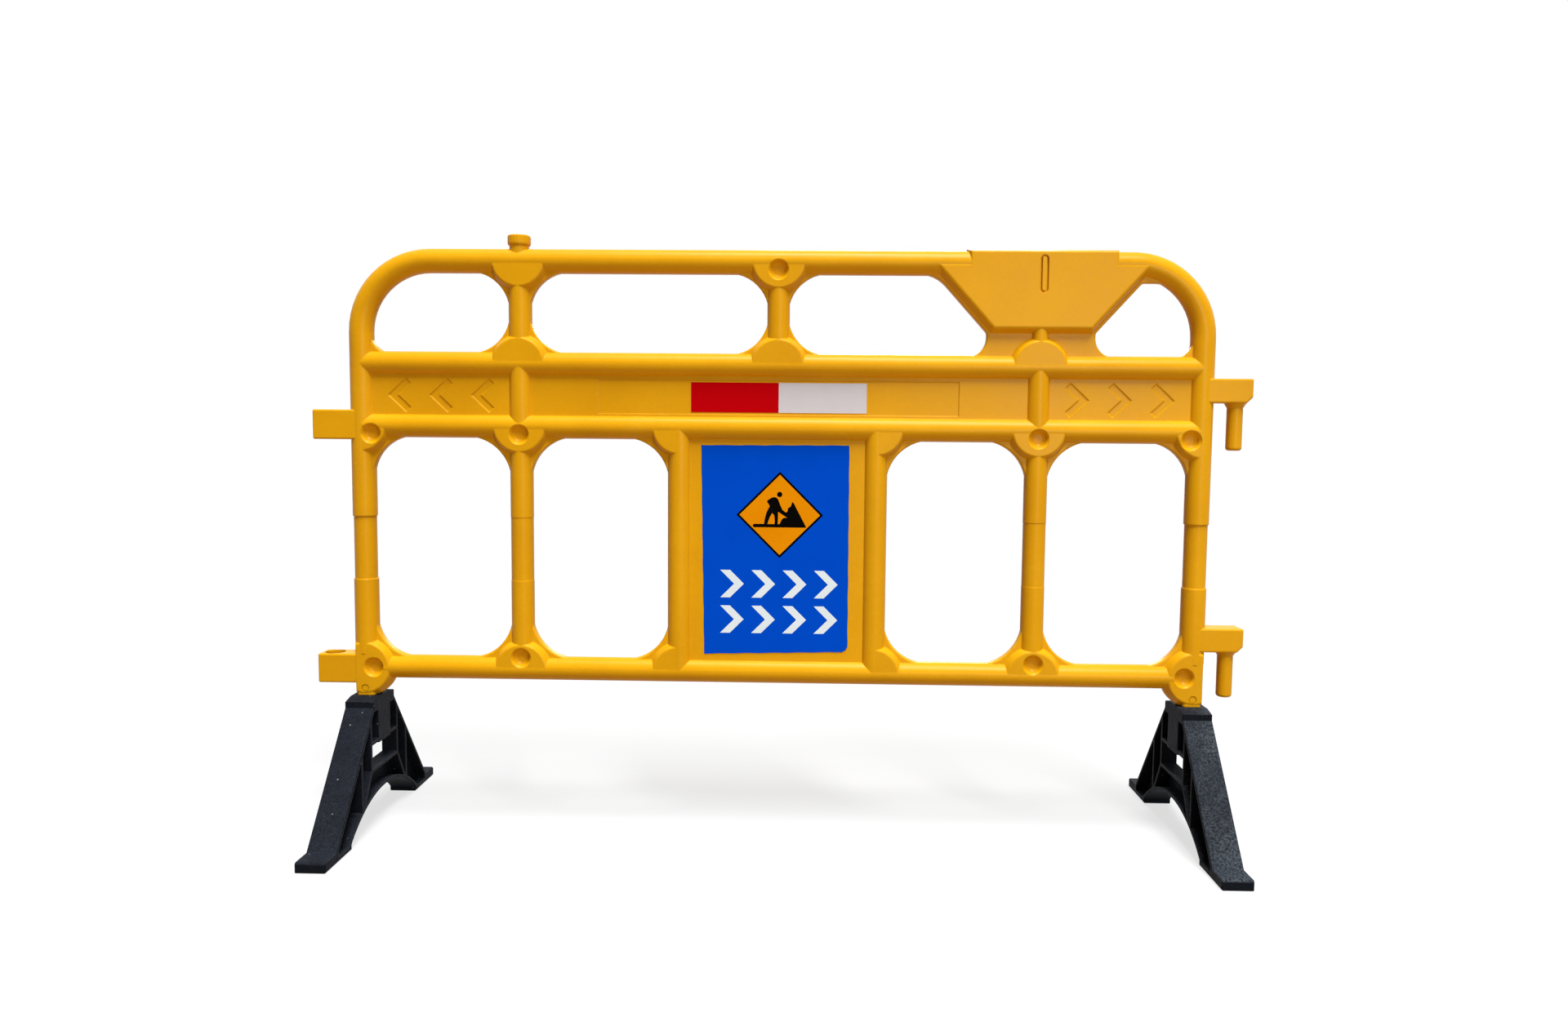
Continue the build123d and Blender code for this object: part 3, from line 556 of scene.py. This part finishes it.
def digger():
    """A road worker with a shovel beside a heap, on a strip of ground, and the worker's head."""
    smooth = True
    worker_and_heap = [
        (-44.7, -21.5), (-46.2, -18.6, smooth), (-44.7, -15.7), (-27.0, -15.7),
        (-25.2, -5.3, smooth), (-21.6, 7.1, smooth), (-17.2, 15.1), (-19.4, 18.7, smooth),
        (-21.8, 23.5, smooth), (-17.4, 27.5, smooth), (-10.0, 30.8, smooth), (-4.3, 28.5, smooth),
        (-1.3, 22.8, smooth), (1.3, 15.7, smooth), (4.6, 8.9), (10.5, 4.2),
        (13.3, 6.8, smooth), (14.2, 11.6, smooth), (18.5, 14.9, smooth), (20.2, 19.2, smooth),
        (22.2, 22.0, smooth), (24.8, 18.9), (45.2, -20.0), (45.0, -21.5),
    ]
    under_shovel = [
        (-2.8, 5.4), (12.8, -4.7), (6.0, -5.5, smooth), (3.2, -8.7, smooth),
        (-0.2, -15.7), (-3.4, -15.7), (-2.9, -5.3),
    ]
    between_legs = [
        (-13.2, 3.4), (-9.9, -0.4, smooth), (-8.9, -5.3, smooth), (-8.7, -15.7),
        (-21.2, -15.7), (-17.6, -5.3, smooth),
    ]
    head_x, head_z = HEAD_CENTRE_MM
    head = []
    for i in range(8):
        turn = i * pi / 4
        head.append((head_x + HEAD_RADIUS_MM * cos(turn), head_z + HEAD_RADIUS_MM * sin(turn), smooth))
    return [on_diamond(outline) for outline in (worker_and_heap, under_shovel, between_legs, head)]


def chevrons():
    """Two rows of plain chevrons in the lower half of the sign."""
    outlines = []
    for row_z in CHEVRON_ROWS_MM:
        top = row_z + CHEVRON_HALF_HEIGHT_MM
        bottom = row_z - CHEVRON_HALF_HEIGHT_MM
        for tip in CHEVRON_TIPS_MM:
            back = tip - CHEVRON_REACH_MM
            notch = tip - CHEVRON_ARM_MM
            outlines.append([
                (tip, row_z), (back, bottom), (back - CHEVRON_ARM_MM, bottom),
                (notch, row_z), (back - CHEVRON_ARM_MM, top), (back, top),
            ])
    return outlines


def sign():
    sign_film(printed_film("sign_blue", SIGN_BLUE, SIGN_BLUE_DEEP))
    black = printed_film("print_black", PRINT_BLACK, PRINT_BLACK_WORN)
    printed("sign_diamond_border", [diamond(DIAMOND_HALF_MM)], 0, black)
    orange = printed_film("print_orange", PRINT_ORANGE, PRINT_ORANGE_DEEP)
    printed("sign_diamond_field", [diamond(DIAMOND_FIELD_HALF_MM)], 1, orange)
    printed("sign_digger", digger(), 2, black)
    white = printed_film("print_white", PRINT_WHITE, PRINT_WHITE_DULL)
    printed("sign_chevrons", chevrons(), 0, white)


def dress(node, material):
    """Gives a CAD node its finish."""
    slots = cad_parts[node].data.materials
    slots.clear()
    slots.append(material)


def barrier():
    yellow = moulded_yellow()
    for node in ("frame", "left_drain_plug", "right_drain_plug"):
        dress(node, yellow)
    fill_cap(yellow)
    dress("left_foot", crumb_rubber("crumb_rubber_clean", LEFT_FOOT_DUST))
    dress("right_foot", crumb_rubber("crumb_rubber_dusty", RIGHT_FOOT_DUST))
    seal = seal_rubber()
    for node in ("fill_cap_gasket", "left_drain_seal", "right_drain_seal"):
        dress(node, seal)
    dress("red_reflector", reflective_tape("red_tape", TAPE_RED, TAPE_RED_CELL))
    dress("white_reflector", reflective_tape("white_tape", TAPE_WHITE, TAPE_WHITE_CELL))
    sign()


def floor():
    ends = (-FLOOR_HALF, FLOOR_HALF)
    rows = [[(x, y, -FLOOR_DROP) for x in ends] for y in ends]
    mesh = mesh_from_grid("floor", rows, closed=False, smooth=True)
    finished_object("floor", mesh, pale_floor())


def softbox(name, place, width, depth, watts):
    """A rectangular lamp that points at the barrier and stays out of the picture."""
    lamp = bpy.data.lights.new(name, "AREA")
    lamp.shape = "RECTANGLE"
    lamp.size = width
    lamp.size_y = depth
    lamp.energy = watts
    box = bpy.data.objects.new(name, lamp)
    bpy.context.scene.collection.objects.link(box)
    box.location = place
    box.visible_camera = False
    aim = Vector(LAMP_TARGET) - box.location
    box.rotation_euler = aim.to_track_quat("-Z", "Y").to_euler()


def studio():
    """A floor that runs out into white, two lamps high above, and a low fill before and behind."""
    floor()
    softbox("slanting_softbox", (3.20, -7.34, 14.4), width=3.2, depth=4.8, watts=2150)
    softbox("high_softbox", (0.36, -4.14, 21.1), width=5.4, depth=5.4, watts=3700)
    softbox("front_softbox", (1.6, -4.4, 1.0), width=1.4, depth=1.4, watts=58)
    softbox("back_softbox", (0.8, 6.0, 3.4), width=2.0, depth=1.8, watts=170)
    world = bpy.data.worlds.new("white_room")
    world.use_nodes = True
    bpy.context.scene.world = world
    room = Nodes(world.node_tree)
    dim = room.add("Background", {}, {"Color": ROOM_LIGHT, "Strength": 1.0})
    bright = room.add("Background", {}, {"Color": WHITE, "Strength": 1.0})
    light = room.add("MixShader", {}, {0: room.seen(), 1: dim, 2: bright})
    room.add("OutputWorld", {}, {"Surface": light})
    bpy.context.scene.view_settings.view_transform = "Standard"


def camera():
    lens = bpy.data.cameras.new("camera")
    lens.sensor_width = SENSOR_MM
    lens.lens = LENS_MM
    eye = bpy.data.objects.new("camera", lens)
    bpy.context.scene.collection.objects.link(eye)
    level = Matrix.Rotation(CAMERA_YAW, 4, "Z") @ Matrix.Rotation(pi / 2 - CAMERA_PITCH, 4, "X")
    eye.matrix_world = Matrix.Translation(CAMERA_PLACE) @ level @ Matrix.Rotation(CAMERA_ROLL, 4, "Z")
    bpy.context.scene.camera = eye


barrier()
studio()
camera()
